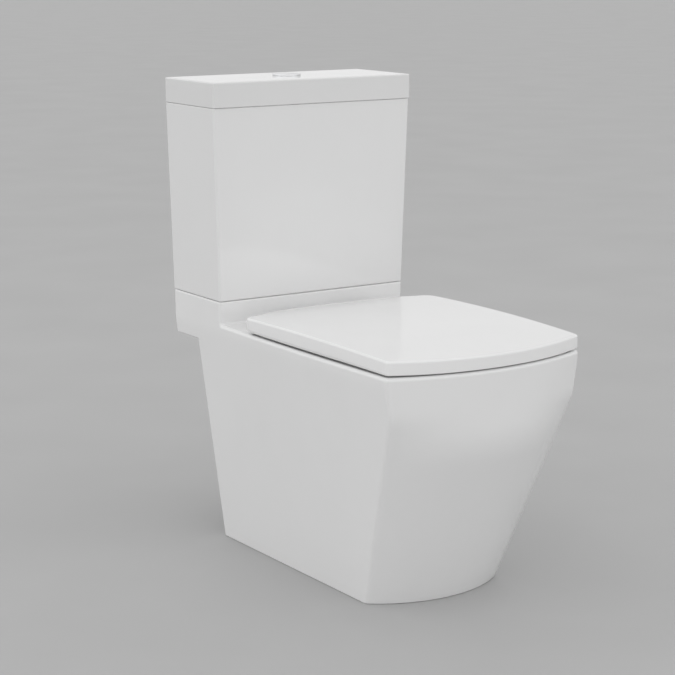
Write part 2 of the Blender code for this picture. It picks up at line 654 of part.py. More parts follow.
def build_flush_valve(where, cutters, looks):
    center = (0.0, FLUSH_Y)
    floor = CISTERN_FLOOR + GAP
    profile = [(0.0250, floor + 0.006), (0.0345, floor + 0.006), (0.0345, floor), (0.0300, floor),
               (0.0300, 0.3900), (0.0250, 0.3900)]
    finish(turned("flush_valve_base", profile, center, where), looks["plastic"])
    profile = [(0.0303, 0.4275), (0.0400, 0.4275), (0.0400, 0.4170), (0.0303, 0.4170)]
    finish(turned("flush_valve_back_nut", profile, center, where), looks["plastic"])
    profile = [(0.0405, 0.4270), (0.0485, 0.4270), (0.0492, 0.4130), (0.0470, 0.3986), (0.0350, 0.3986),
               (0.0350, 0.4160), (0.0405, 0.4160)]
    finish(turned("doughnut_washer", profile, center, where), looks["rubber"])
    seat = floor + 0.006 + GAP
    finish(washer("flush_valve_seal", 0.0120, 0.0300, seat, seat + 0.003, center, where), looks["rubber"])
    low = seat + 0.003 + GAP
    profile = [(0.0090, 0.6550), (0.0110, 0.6550), (0.0110, low + 0.008), (0.0270, low + 0.003),
               (0.0270, low), (0.0117, low), (0.0117, seat - 0.004), (0.0090, seat - 0.004)]
    finish(turned("overflow_tube", profile, center, where, 20), looks["plastic"])
    profile = [(0.0, 0.7000), (0.0400, 0.7000), (0.0400, floor), (0.0350, floor), (0.0350, 0.6760),
               (0.0, 0.6760)]
    cage = turned("flush_valve_tower", profile, center, where)
    for z0, z1 in ((0.4560, 0.5100), (0.5600, 0.6500)):
        cut(cage, box("window_x", (-0.05, FLUSH_Y - 0.014, z0), (0.05, FLUSH_Y + 0.014, z1), cutters))
        cut(cage, box("window_y", (-0.014, FLUSH_Y - 0.05, z0), (0.014, FLUSH_Y + 0.05, z1), cutters))
    for rod_x in (-0.0085, 0.0115):
        cut(cage, drum("rod_socket", 0.0042, 0.6795, 0.72, (rod_x, BUTTON_Y), cutters, 12))
    finish(cage, looks["plastic"])


def build_fill_valve(where, cutters, looks):
    center = (INLET_X, FLUSH_Y)
    floor = CISTERN_FLOOR
    profile = [(0.0, 0.6780), (0.0150, 0.6780), (0.0160, 0.6740), (0.0160, 0.6480), (0.0120, 0.6440),
               (0.0120, floor + 0.0070), (0.0170, floor + 0.0070), (0.0170, floor + 0.0035),
               (0.0098, floor + 0.0035), (0.0098, 0.3800), (0.0060, 0.3800), (0.0060, 0.6400), (0.0, 0.6400)]
    body = turned("fill_valve_body", profile, center, where)
    for offset in (-0.0085, 0.0085):
        depth = FLUSH_Y + offset
        low, high = (INLET_X + 0.010, depth - 0.002, 0.6520), (INLET_X + 0.030, depth + 0.002, 0.6660)
        join(body, box("ear", low, high, cutters))
    low, high = (INLET_X - 0.03, FLUSH_Y - 0.003, 0.600), (INLET_X, FLUSH_Y + 0.003, 0.612)
    cut(body, box("water_port", low, high, cutters))
    pivot_x, pivot_z = FLOAT_PIVOT_X, FLOAT_PIVOT_Z
    cut(body, y_rod("ear_bore", 0.0019, FLUSH_Y - 0.02, FLUSH_Y + 0.02, pivot_x, pivot_z, cutters))
    finish(body, looks["plastic"])
    low, high = (pivot_x - 0.0045, FLUSH_Y - 0.0060, 0.6555), (INLET_X + 0.0620, FLUSH_Y + 0.0060, 0.6625)
    arm = box("float_arm", low, high, where)
    cut(arm, y_rod("arm_bore", 0.0019, FLUSH_Y - 0.02, FLUSH_Y + 0.02, pivot_x, pivot_z, cutters))
    finish(arm, looks["plastic"])
    pin = y_rod("float_pivot_pin", 0.0016, FLUSH_Y - 0.0115, FLUSH_Y + 0.0115, pivot_x, pivot_z, where)
    finish(pin, looks["brass"])
    profile = [(0.0, 0.6552), (0.0180, 0.6552), (0.0210, 0.6520), (0.0210, 0.6060), (0.0190, 0.6030),
               (0.0, 0.6030)]
    finish(turned("float", profile, (INLET_X + 0.0640, FLUSH_Y), where), looks["float"])
    pad = washer("inlet_washer", 0.0101, 0.0180, floor + GAP, floor + 0.0032, center, where, 20)
    finish(pad, looks["rubber"])
    nut = hex_nut("inlet_back_nut", 0.0101, 0.0170, 0.4120, CISTERN_Z[0] - GAP, center, where, cutters)
    finish(nut, looks["plastic"])


def y_rod(name, radius, near, far, x, height, where, sides=12):
    """A cylinder lying along Y between two depths."""
    mesh = bpy.data.meshes.new(name)
    work = bmesh.new()
    bmesh.ops.create_cone(work, cap_ends=True, segments=sides, radius1=radius, radius2=radius,
                          depth=far - near)
    for vertex in work.verts:
        across, up, along = vertex.co.x, vertex.co.y, vertex.co.z
        vertex.co = Vector((x + across, wall_y((near + far) / 2) + along, height + up))
    bmesh.ops.reverse_faces(work, faces=work.faces)
    work.to_mesh(mesh)
    work.free()
    obj = bpy.data.objects.new(name, mesh)
    where.objects.link(obj)
    return obj


def hex_nut(name, bore, reach, low, high, center, where, cutters):
    rings = []
    for z in (low, high):
        rings.append(level([(center[0] + reach * math.cos(math.radians(60 * i)),
                             center[1] + reach * math.sin(math.radians(60 * i))) for i in range(6)], z))
    nut = loft(name, rings, where)
    cut(nut, drum("nut_bore", bore, low - 0.01, high + 0.01, center, cutters, 16))
    return nut


def build_coupling(side, tag, where, cutters, looks):
    spot = (side * COUPLING_X, FLUSH_Y)
    floor = CISTERN_FLOOR
    profile = [(0.0, floor + 0.0085), (0.0090, floor + 0.0070), (0.0090, floor + 0.0040),
               (0.0038, floor + 0.0040), (0.0038, 0.3800), (0.0, 0.3800)]
    finish(turned("coupling_bolt_" + tag, profile, spot, where, 16), looks["brass"])
    seal = washer("coupling_seal_" + tag, 0.0041, 0.0130, floor + GAP, floor + 0.0037, spot, where, 20)
    finish(seal, looks["rubber"])
    under = SHELF_Z[1] - SHELF_WALL - GAP
    plate = washer("coupling_washer_" + tag, 0.0041, 0.0120, under - 0.0020, under, spot, where, 20)
    finish(plate, looks["steel"])
    low, high = under - 0.0140, under - 0.0020 - GAP
    wing_nut("coupling_nut_" + tag, 0.0041, low, high, spot, where, cutters, looks["brass"])


def build_floor_screw(side, tag, where, looks):
    profile = [(0.0, 0.0200), (0.0050, 0.0190), (0.0075, 0.0143), (0.0042, 0.0143), (0.0042, 0.0004),
               (0.0, 0.0004)]
    finish(turned("floor_screw_" + tag, profile, (side * 0.098, 0.105), where, 12), looks["steel"])


def pivot(name, depth, z, where, carried, x=0.0):
    """An empty on a joint's axis that carries the pieces which move about it."""
    empty = bpy.data.objects.new(name, None)
    empty.location = (x, wall_y(depth), z)
    empty.empty_display_size = 0.02
    where.objects.link(empty)
    bpy.context.view_layer.update()
    for child in carried:
        piece = bpy.data.objects[child]
        piece.parent = empty
        piece.matrix_parent_inverse = empty.matrix_world.inverted()
    return empty


def place_pivots(where):
    carried = ["seat_ring", "hinge_pin_left", "hinge_pin_right"]
    carried += ["ring_buffer_" + spot for spot in ("rear_left", "rear_right", "front_left", "front_right")]
    ring = pivot("seat_hinge", AXIS_Y, AXIS_Z, where, carried)
    lid = pivot("lid_hinge", AXIS_Y, AXIS_Z, where, ["seat_lid", "lid_buffer_left", "lid_buffer_right"])
    carried = ["cistern_lid", "button_bezel", "button_nut"]
    cover = pivot("cistern_lid_lift", BUTTON_Y, LID_Z[0], where, carried)
    full = pivot("full_flush", BUTTON_Y, LID_Z[1], where, ["full_flush_button", "full_flush_rod"])
    half = pivot("half_flush", BUTTON_Y, LID_Z[1], where, ["half_flush_button", "half_flush_rod"])
    pivot("flush_valve_lift", FLUSH_Y, CISTERN_FLOOR, where, ["overflow_tube", "flush_valve_seal"])
    carried = ["float_arm", "float", "float_pivot_pin"]
    pivot("float_pivot", FLUSH_Y, FLOAT_PIVOT_Z, where, carried, FLOAT_PIVOT_X)
    for child, parent in ((lid, ring), (full, cover), (half, cover)):
        child.parent = parent
        child.matrix_parent_inverse = parent.matrix_world.inverted()


def main():
    clear_scene()
    toilet = new_collection("close_coupled_toilet")
    cutters = new_collection("cutters", hidden=True)
    looks = {
        "pan": material("pan_glaze", GLAZE, 0.08, coat=0.5),
        "cistern": material("cistern_glaze", GLAZE, 0.08, coat=0.5),
        "cistern_lid": material("cistern_lid_glaze", GLAZE, 0.08, coat=0.5),
        "seat": material("seat_resin", (0.88, 0.88, 0.88), 0.14),
        "seat_ring": material("seat_ring_resin", (0.88, 0.88, 0.88), 0.16),
        "chrome": material("chrome_plate", (0.80, 0.80, 0.82), 0.08, 1.0),
        "steel": material("bright_steel", (0.60, 0.60, 0.61), 0.30, 1.0),
        "brass": material("plain_brass", (0.72, 0.55, 0.28), 0.32, 1.0),
        "rubber": material("soft_rubber", (0.08, 0.08, 0.08), 0.75),
        "plastic": material("white_polymer", (0.78, 0.78, 0.76), 0.45),
        "float": material("float_foam", (0.12, 0.18, 0.30), 0.60),
    }
    build_pan(toilet, cutters, looks["pan"])
    build_cistern(toilet, cutters, looks["cistern"])
    build_cistern_lid(toilet, cutters, looks["cistern_lid"])
    build_seat_lid(toilet, cutters, looks["seat"])
    build_seat_ring(toilet, cutters, looks["seat_ring"])
    build_buffers(toilet, looks)
    build_buttons(toilet, cutters, looks)
    build_flush_valve(toilet, cutters, looks)
    build_fill_valve(toilet, cutters, looks)
    for side, tag in ((-1, "left"), (1, "right")):
        build_hinge(side, tag, toilet, cutters, looks)
        build_coupling(side, tag, toilet, cutters, looks)
        build_floor_screw(side, tag, toilet, looks)
    place_pivots(toilet)


main()
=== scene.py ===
"""Looks for the close coupled toilet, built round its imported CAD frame.

Depths are measured forward from the wall behind the cistern, as in the CAD; the front faces -Y.
"""

import json
import math

import bmesh
import bpy
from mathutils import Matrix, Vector


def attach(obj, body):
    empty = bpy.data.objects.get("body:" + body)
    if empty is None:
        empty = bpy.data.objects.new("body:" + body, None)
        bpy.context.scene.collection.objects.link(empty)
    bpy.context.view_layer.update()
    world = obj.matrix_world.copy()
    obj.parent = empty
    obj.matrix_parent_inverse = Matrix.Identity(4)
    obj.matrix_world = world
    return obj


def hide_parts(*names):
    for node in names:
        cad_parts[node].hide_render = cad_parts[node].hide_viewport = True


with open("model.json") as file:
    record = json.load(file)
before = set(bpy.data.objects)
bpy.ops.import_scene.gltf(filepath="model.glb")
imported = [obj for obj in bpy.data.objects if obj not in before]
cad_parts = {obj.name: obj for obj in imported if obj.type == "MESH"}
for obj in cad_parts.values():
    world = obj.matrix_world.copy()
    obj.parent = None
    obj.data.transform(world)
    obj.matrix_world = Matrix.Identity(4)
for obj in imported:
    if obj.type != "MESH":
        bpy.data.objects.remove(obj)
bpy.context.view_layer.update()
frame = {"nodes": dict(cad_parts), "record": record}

# The CAD's sizes, in metres. Depths run forward from the wall and heights up from the floor.
DEPTH = 0.6665
WALL_Y = DEPTH / 2
GAP = 0.0003

# Pan and shelf: half widths are tables of (depth, half width)
RIM_Z, DECK_UNDER_Z = 0.390, 0.372
PAN_BACK, PAN_WALL = 0.0724, 0.011
SHELF_LOW, SHELF_TOP = 0.3531, 0.4278
SHELF_DEPTH, SHELF_HALF, SHELF_FLARE, SHELF_WALL = 0.1544, 0.1822, 0.0007, 0.010
FLOOR_HALF = ((0.0724, 0.1306), (0.4995, 0.1281))
RIM_HALF = ((0.0, 0.1822), (0.0724, 0.1822), (0.153, 0.1827), (0.28, 0.1852), (0.40, 0.1860),
            (0.52, 0.1848), (0.628, 0.1821), (0.70, 0.1794))

# Depths of the pan's front corners and front middle: (at the floor, slope, at the rim, how softly
# the slope ends), then the corner's radius
PAN_CORNER = (0.4995, 0.397, 0.628, 0.005)
PAN_MIDDLE = (0.5441, 0.445, 0.6665, 0.013)
PAN_FILLET = 0.0048

# The lean of the pan's sides: its rate, the height from which it eases off, and by how much
LEAN_RATE, EASE_Z, LEAN_EASE = 2.64, 0.3673, 58.1

# No edge of the pan is rounded by more than this
PAN_EDGE = 0.006

# Ovals are (middle depth, half length, half width); the bowl's start with a height
OPENING, OPENING_EDGE = (0.4468, 0.172, 0.128), 0.006
FLANGE_Z, FLANGE_WALL = 0.352, 0.010
BOWL_WALL = 0.011
BOWL = ((0.377, 0.4468, 0.200, 0.155), (0.345, 0.4468, 0.199, 0.153), (0.310, 0.446, 0.184, 0.143),
        (0.270, 0.445, 0.160, 0.123), (0.230, 0.441, 0.131, 0.099), (0.195, 0.435, 0.104, 0.078),
        (0.160, 0.423, 0.079, 0.059), (0.130, 0.411, 0.058, 0.043), (0.112, 0.405, 0.038, 0.028),
        (0.1045, 0.404, 0.018, 0.014), (0.1035, 0.404, 0.006, 0.005))

# Passages are (depth, height) points, with their inner and outer radii
TRAP_RADIUS = (0.034, 0.045)
TRAP = ((0.392, 0.146), (0.366, 0.133), (0.338, 0.133), (0.312, 0.146), (0.292, 0.172),
        (0.274, 0.207), (0.255, 0.240), (0.229, 0.262), (0.196, 0.266), (0.166, 0.249),
        (0.140, 0.221), (0.112, 0.197), (0.082, 0.187), (0.052, 0.185))
SPIGOT_END, SPIGOT_Z, SPIGOT_RADIUS = 0.018, 0.185, (0.041, 0.051)
HORN_RADIUS = (0.026, 0.035)
HORN = ((0.0764, 0.400), (0.0775, 0.383), (0.086, 0.367), (0.103, 0.357), (0.130, 0.353),
        (0.262, 0.351))

# Lugs and holes: the lugs' X positions, depths and height, then the X positions and depths of the
# holes' middles
LUG_X, LUG_DEPTH, LUG_TOP = (0.084, 0.126), (0.088, 0.122), 0.014
FLUSH_Y, BUTTON_Y = 0.0764, 0.0726
COUPLING_X, INLET_X = 0.078, -0.132
SEAT_BOLT, FLOOR_SCREW = (0.0775, 0.189), (0.098, 0.105)

# Cistern and cover: (at the foot, at the top) where there are two values
CISTERN_Z = (0.4283, 0.7450)
CISTERN_HALF, CISTERN_DEPTH = (0.1826, 0.1928), (0.1548, 0.1586)
CISTERN_WALL, CISTERN_FLOOR = 0.009, 0.4403
COVER_Z = (0.7453, 0.7863)
COVER_HALF, COVER_DEPTH, COVER_WALL = 0.1933, 0.1606, 0.009
RIB_INSET, COVER_HOLLOW_INSET = 0.0125, 0.0205

# Seat: its sides are (depth, half width), its rear is (x, depth), and the relief under the lid's
# rear middle is its half width, front and top
AXIS_Y, AXIS_Z, PIN_BORE, PIN_REACH = 0.2185, 0.4040, 0.0029, (0.040, 0.115)
SEAT_LID_Z, SEAT_RING_Z, SEAT_WALL = 0.3925, (0.3960, 0.4070), 0.0045
SEAT_SIDE = ((0.254, 0.1855), (0.32, 0.1862), (0.40, 0.1861), (0.48, 0.1852), (0.56, 0.1831),
             (0.6280, 0.1808))
SEAT_REAR = ((0.0, 0.2057), (0.04, 0.2068), (0.0775, 0.2088), (0.105, 0.2120), (0.132, 0.2172),
             (0.160, 0.2280))
SEAT_FRONT = (0.6280, 0.6665)
SEAT_HOLE = (0.452, 0.152, 0.115)
NOSE_RELIEF = (0.056, 0.2112, 0.3995)

# The seat lid's crown: its top, the depth of that top, and its fall behind and in front of it
CROWN_Z, CROWN_DEPTH, CROWN_FALL = 0.4190, 0.41, (0.0833, 0.0912)

# X ranges of the lid's bosses and the ring's lugs, which share the hinge pin
LID_BOSSES = ((0.0470, 0.0535), (0.1015, 0.1080))
RING_LUGS = ((0.0575, 0.0645), (0.0905, 0.0975))

# Button: the bezel's inner and outer radii; the halves' radius, their foot and top measured from
# the cover's top, and the X positions between which they are split
BEZEL_RADII = (0.0182, 0.0240)
BUTTON_RADIUS, BUTTON_SPAN, BUTTON_SPLIT = 0.0179, (-0.0050, 0.0037), (0.0038, 0.0044)

# Small departures from the CAD that bring the look nearer to the real thing: the thickness of the
# lid's skirt, the radius and the dip of the lid's lower edge against the depth, and the bezel's
# rise over the cover
SEAT_SKIRT = 0.0070
LID_EDGE = ((0.52, 0.0075), (0.60, 0.0050), (0.635, 0.0025), (0.655, 0.0012))
LID_DIP = ((0.620, 0.0), (0.640, 0.0002), (0.660, 0.0004))
BEZEL_RISE = 0.0035

# Stage: how far the floor reaches, then the sky's strength at the horizon and overhead
FLOOR_REACH = 30.0
SKY = (1.235, 0.725)

# The sky is stronger towards one side, by SKY_LEAN. Round a second direction it is weaker, by
# SKY_DIP, from where the cosine of the angle to that direction passes DIP_START.
SKY_SIDE, SKY_LEAN = (-0.74, -0.67, 0.0), 0.30
SKY_DIM, SKY_DIP, DIP_START = (-0.58, -0.81, 0.0), 0.20, 0.4


# ---------------------------------------------------------------- numbers

def wall_y(depth):
    """World Y of a depth measured forward from the wall."""
    return WALL_Y - depth


def between(table, at):
    """Value at a position in a table of (position, value), by a smooth curve through its points."""
    if at <= table[0][0]:
        return table[0][1]
    if at >= table[-1][0]:
        return table[-1][1]
    i = next(n for n in range(len(table) - 1) if at <= table[n + 1][0])
    before, start, end = table[max(i - 1, 0)], table[i], table[i + 1]
    after = table[min(i + 2, len(table) - 1)]
    span = end[0] - start[0]
    t = (at - start[0]) / span
    into = (end[1] - before[1]) / (end[0] - before[0]) * span
    out = (after[1] - start[1]) / (after[0] - start[0]) * span
    return ((2 * t**3 - 3 * t**2 + 1) * start[1] + (t**3 - 2 * t**2 + t) * into
            + (3 * t**2 - 2 * t**3) * end[1] + (t**3 - t**2) * out)


def soft_least(a, b, blend):
    """The lesser of two, rounded off where they cross."""
    share = max(blend - abs(a - b), 0.0) / blend
    return min(a, b) - share * share * blend / 4


def spaced(start, end, count):
    return [start + (end - start) * i / (count - 1) for i in range(count)]


def rounded(before, corner, after, steps):
    """Points that round off a corner between two points."""
    points = []
    for i in range(steps + 1):
        t = i / steps
        ends = [(1 - t) ** 2 * p + t * t * q for p, q in zip(before, after)]
        points.append([e + 2 * t * (1 - t) * c for e, c in zip(ends, corner)])
    return points


# ---------------------------------------------------------------- meshes

def add_mesh(name, vertices, faces):
    mesh = bpy.data.meshes.new(name)
    mesh.from_pydata([tuple(v) for v in vertices], [], faces)
    work = bmesh.new()
    work.from_mesh(mesh)
    bmesh.ops.recalc_face_normals(work, faces=work.faces)
    work.to_mesh(mesh)
    work.free()
    obj = bpy.data.objects.new(name, mesh)
    bpy.context.scene.collection.objects.link(obj)
    return obj


def loft(name, rings):
    """A closed body through rings that share one point count."""
    count = len(rings[0])
    vertices = [point for ring in rings for point in ring]
    faces = [list(range(count)), list(range(len(vertices) - count, len(vertices)))]
    for step in range(len(rings) - 1):
        for i in range(count):
            after = (i + 1) % count
            low, high = step * count, (step + 1) * count
            faces.append((low + i, low + after, high + after, high + i))
    return add_mesh(name, vertices, faces)


def turned(name, profile, center, steps=64):
    """A closed profile of (radius, height) turned about the vertical through center."""
    vertices, faces = [], []
    x, y = center[0], wall_y(center[1])
    for i in range(steps):
        angle = 2 * math.pi * i / steps
        vertices += [(x + r * math.cos(angle), y + r * math.sin(angle), z) for r, z in profile]
    count = len(profile)
    for i in range(steps):
        here, there = i * count, (i + 1) % steps * count
        for j in range(count):
            after = (j + 1) % count
            faces.append((here + j, here + after, there + after, there + j))
    obj = add_mesh(name, vertices, faces)
    work = bmesh.new()
    work.from_mesh(obj.data)
    bmesh.ops.remove_doubles(work, verts=work.verts, dist=1e-7)
    bmesh.ops.recalc_face_normals(work, faces=work.faces)
    work.to_mesh(obj.data)
    work.free()
    return obj


def box(name, low, high):
    """A box between two corners given as (x, depth, z)."""
    x0, x1 = low[0], high[0]
    y0, y1 = wall_y(high[1]), wall_y(low[1])
    ring = ((x0, y0), (x1, y0), (x1, y1), (x0, y1))
    return loft(name, [[(x, y, z) for x, y in ring] for z in (low[2], high[2])])


def circle(radius, steps):
    angles = [2 * math.pi * i / steps for i in range(steps)]
    return [(radius * math.cos(angle), radius * math.sin(angle)) for angle in angles]


def drum(name, radius, low, high, center, steps=48):
    """An upright cylinder between two heights."""
    ring = [(center[0] + x, wall_y(center[1]) + y) for x, y in circle(radius, steps)]
    return loft(name, [[(x, y, z) for x, y in ring] for z in (low, high)])


def cross_rod(name, radius, x0, x1, depth, height, steps=48):
    """A cylinder lying along X."""
    ring = circle(radius, steps)
    return loft(name, [[(x, wall_y(depth) + y, height + z) for y, z in ring] for x in (x0, x1)])


def pipe(name, path, radius, smooth=5, sides=40):
    """A round solid along (depth, height) points in the middle plane."""
    points = eased_path(path, smooth) if smooth > 1 else list(path)
    rings = []
    for i, (depth, height) in enumerate(points):
        before, after = points[max(i - 1, 0)], points[min(i + 1, len(points) - 1)]
        along = Vector((0.0, before[0] - after[0], after[1] - before[1])).normalized()
        across, up = Vector((1.0, 0.0, 0.0)), along.cross(Vector((1.0, 0.0, 0.0)))
        middle = Vector((0.0, wall_y(depth), height))
        angles = [2 * math.pi * n / sides for n in range(sides)]
        rings.append([middle + across * radius * math.cos(a) + up * radius * math.sin(a)
                      for a in angles])
    return loft(name, rings)


def eased_path(path, smooth):
    """A smooth curve through a path's points."""
    points = []
    for i in range(len(path) - 1):
        p0, p1, p2, p3 = path[max(i - 1, 0)], path[i], path[i + 1], path[min(i + 2, len(path) - 1)]
        for n in range(smooth):
            t = n / smooth
            points.append([0.5 * (2 * b + (c - a) * t + (2 * a - 5 * b + 4 * c - d) * t * t
                                  + (3 * b - a - 3 * c + d) * t**3)
                           for a, b, c, d in zip(p0, p1, p2, p3)])
    return points + [path[-1]]


def bake(obj):
    """Applies an object's modifiers to its mesh."""
    bpy.context.view_layer.update()
    made = bpy.data.meshes.new_from_object(obj.evaluated_get(bpy.context.evaluated_depsgraph_get()))
    obj.modifiers.clear()
    obj.data = made
    return obj


def combine(obj, tools, operation):
    for tool in tools:
        modifier = obj.modifiers.new("Cut", "BOOLEAN")
        modifier.operation = operation
        modifier.solver = "EXACT"
        modifier.object = tool
    bake(obj)
    for tool in tools:
        bpy.data.objects.remove(tool)


def cut(obj, *tools):
    combine(obj, tools, "DIFFERENCE")


def join(obj, *tools):
    combine(obj, tools, "UNION")


def round_edges(obj, radius_at, widest, least_angle=28.0, segments=5):
    """Rounds each sharp edge by the radius that radius_at(middle, is_hollow) gives, in metres."""
    work = bmesh.new()
    work.from_mesh(obj.data)
    weights = work.edges.layers.float.new("bevel_weight_edge")
    for edge in work.edges:
        if len(edge.link_faces) == 2 and math.degrees(edge.calc_face_angle(0.0)) > least_angle:
            middle = (edge.verts[0].co + edge.verts[1].co) / 2
            edge[weights] = radius_at(middle, edge.calc_face_angle_signed(0.0) < 0) / widest
    work.to_mesh(obj.data)
    work.free()
    bevel = obj.modifiers.new("Edges", "BEVEL")
    bevel.limit_method = "WEIGHT"
    bevel.width = widest
    bevel.segments = segments
    bevel.use_clamp_overlap = False
    bevel.miter_outer = "MITER_ARC"
    return bake(obj)


def polish(obj, angle=32.0):
    """Clears faces without area, and smooths the shading but for large faces and true corners."""
    work = bmesh.new()
    work.from_mesh(obj.data)
    bmesh.ops.dissolve_degenerate(work, edges=work.edges, dist=1e-6)
    work.to_mesh(obj.data)
    work.free()
    for polygon in obj.data.polygons:
        polygon.use_smooth = True
    obj.data.set_sharp_from_angle(angle=math.radians(angle))
    weighted = obj.modifiers.new("Normals", "WEIGHTED_NORMAL")
    weighted.mode = "FACE_AREA"
    weighted.weight = 60
    weighted.keep_sharp = True
    return obj


# ---------------------------------------------------------------- outlines

def level(outline, z):
    return [(x, wall_y(depth), z) for x, depth in outline]


def front_arc(half, corner, middle, fillet, steps=26):
    """Half of a bowed front from the side's corner to the middle, with the corner rounded off."""
    rise = middle - corner
    radius = (half * half + rise * rise) / (2 * rise)

    def depth(x):
        return middle - radius + math.sqrt(radius * radius - x * x)

    inner = half - fillet
    points = rounded((half, corner - fillet), (half, corner), (inner, depth(inner)), 8)
    for i in range(1, steps + 1):
        x = inner * (1 - i / steps)
        points.append((x, depth(x)))
    return points


def mirrored(half_outline):
    left = [(-x, depth) for x, depth in reversed(half_outline) if x > 1e-9]
    return list(half_outline) + left


def pan_lean(z):
    """How far the pan's side has leant out: 0 at the floor, 1 at the rim, easing off below it."""
    height = min(z, RIM_Z)
    return LEAN_RATE * height - LEAN_EASE * max(height - EASE_Z, 0.0) ** 2


def sloped(sizes, height):
    """Depth of part of the pan's front, which slopes forward up to its limit."""
    start, slope, limit, blend = sizes
    return soft_least(start + slope * height, limit, blend)


def pan_outline(z, inset=0.0, back=0.0):
    """The pan's outline at a height, moved in by inset and starting at the depth back."""
    height = max(z, 0.0)
    corner, middle = sloped(PAN_CORNER, height) - inset, sloped(PAN_MIDDLE, height) - inset
    lean = pan_lean(height)
    (floor_back, back_half), (floor_front, front_half) = FLOOR_HALF
    flare = SHELF_FLARE * max(z - RIM_Z, 0.0) / (SHELF_TOP - RIM_Z)
    side = []
    for share in spaced(0.0, 1.0, 20):
        depth = back + (corner - back) * share
        along = max(depth - floor_back, 0.0) / (floor_front - floor_back)
        floor = back_half + (front_half - back_half) * along
        side.append((floor + (between(RIM_HALF, depth) - floor) * lean + flare - inset, depth))
    return mirrored(side[:-1] + front_arc(side[-1][0], corner, middle, PAN_FILLET))


def box_ring(half, near, far, radii, z, inset=0.0, steps=8):
    """A level rounded rectangle from near to far, with its rear and front corner radii."""
    half, near, far = half - inset, near + inset, far - inset
    rear, front = [max(radius - inset, 0.0008) for radius in radii]
    corners = ((half, far, 0.0), (-half, far, 90.0), (-half, near, 180.0), (half, near, 270.0))
    points = []
    for x, depth, start in corners:
        radius = front if depth == far else rear
        middle_x = x - math.copysign(radius, x)
        middle_depth = depth - radius if depth == far else depth + radius
        for i in range(steps + 1):
            angle = math.radians(start + 90.0 * i / steps)
            points.append((middle_x + radius * math.cos(angle),
                           middle_depth + radius * math.sin(angle)))
    return level(points, z)


def oval_ring(middle, half_length, half_width, z, count=96, power=2.5):
    """A level oval, squarer than an ellipse."""
    points = []
    for i in range(count):
        angle = 2 * math.pi * i / count
        across, along = math.cos(angle), math.sin(angle)
        x = math.copysign(abs(across) ** (2 / power), across) * half_width
        points.append((x, middle + math.copysign(abs(along) ** (2 / power), along) * half_length))
    return level(points, z)


def edge_steps(radius, steps=5):
    """(inset, drop) pairs that turn a rounded edge, from the side up to the top."""
    turns = [math.radians(90.0 * i / steps) for i in range(steps + 1)]
    return [(radius * (1 - math.cos(a)), radius * (1 - math.sin(a))) for a in turns]


# ---------------------------------------------------------------- pan

def pan_block():
    """The solid outside of the pan and its shelf, with its edges rounded."""
    heights = [0.0, 0.03, 0.07, 0.11, 0.15, 0.19] + spaced(0.21, 0.345, 24)
    heights += [0.361, 0.3673, 0.373, 0.379, 0.3845, 0.41, SHELF_TOP]
    block = loft("pan_ceramic", [level(pan_outline(z), z) for z in heights])
    cut(block, box("over_rim", (-0.3, SHELF_DEPTH, RIM_Z), (0.3, 0.8, 0.6)),
        box("behind_pan", (-0.3, -0.1, -0.1), (0.3, PAN_BACK, SHELF_LOW)))
    return round_edges(block, pan_edge_radius, PAN_EDGE)


def pan_edge_radius(middle, hollow):
    """Radius of the pan's edge round a point, by where that point is."""
    near = 0.001
    at_back = WALL_Y - middle.y < 0.01
    if middle.z > SHELF_TOP - near:
        return 0.0030
    if middle.z < near:
        return 0.0012
    if hollow:
        return 0.0036 if middle.z > RIM_Z - 0.01 else 0.0
    if middle.z > RIM_Z + near:
        return 0.004 if at_back else 0.005
    if middle.z > RIM_Z - near:
        return 0.0052
    return 0.0045 if at_back else 0.003


def bowl_body(name, extra):
    """The bowl as a solid, its sides moved outward by extra."""
    rings = []
    table = [row[::-1] for row in BOWL][::-1]
    heights = sorted({round(z, 5) for z in spaced(0.1035, 0.377, 34)} | {0.1045, 0.107})
    for z in heights:
        width, length, middle = (between([(row[3], row[n]) for row in table], z) for n in (0, 1, 2))
        rings.append(oval_ring(middle, length + extra, width + extra, z - extra * (z < 0.3), 64))
    return loft(name, rings)


def hollow_out(pan):
    """Opens the skirt, the space under the deck and the shelf from below."""
    lower = [-0.02, 0.0, 0.08, 0.16] + spaced(0.21, 0.352, 12)
    skirt = loft("skirt_hollow", [level(pan_outline(z, PAN_WALL, -0.03), z) for z in lower])
    upper = (0.336, 0.3531, DECK_UNDER_Z)
    deck = loft("deck_hollow", [level(pan_outline(z, PAN_WALL + GAP, 0.10), z) for z in upper])
    radius = 0.003
    half, near, far = SHELF_HALF - SHELF_WALL - radius, SHELF_WALL, SHELF_DEPTH - SHELF_WALL
    heights = (0.350, SHELF_TOP - SHELF_WALL)
    shelf = loft("shelf_hollow", [box_ring(half, near, far, (radius, radius), z) for z in heights])
    cut(pan, skirt, deck, shelf)


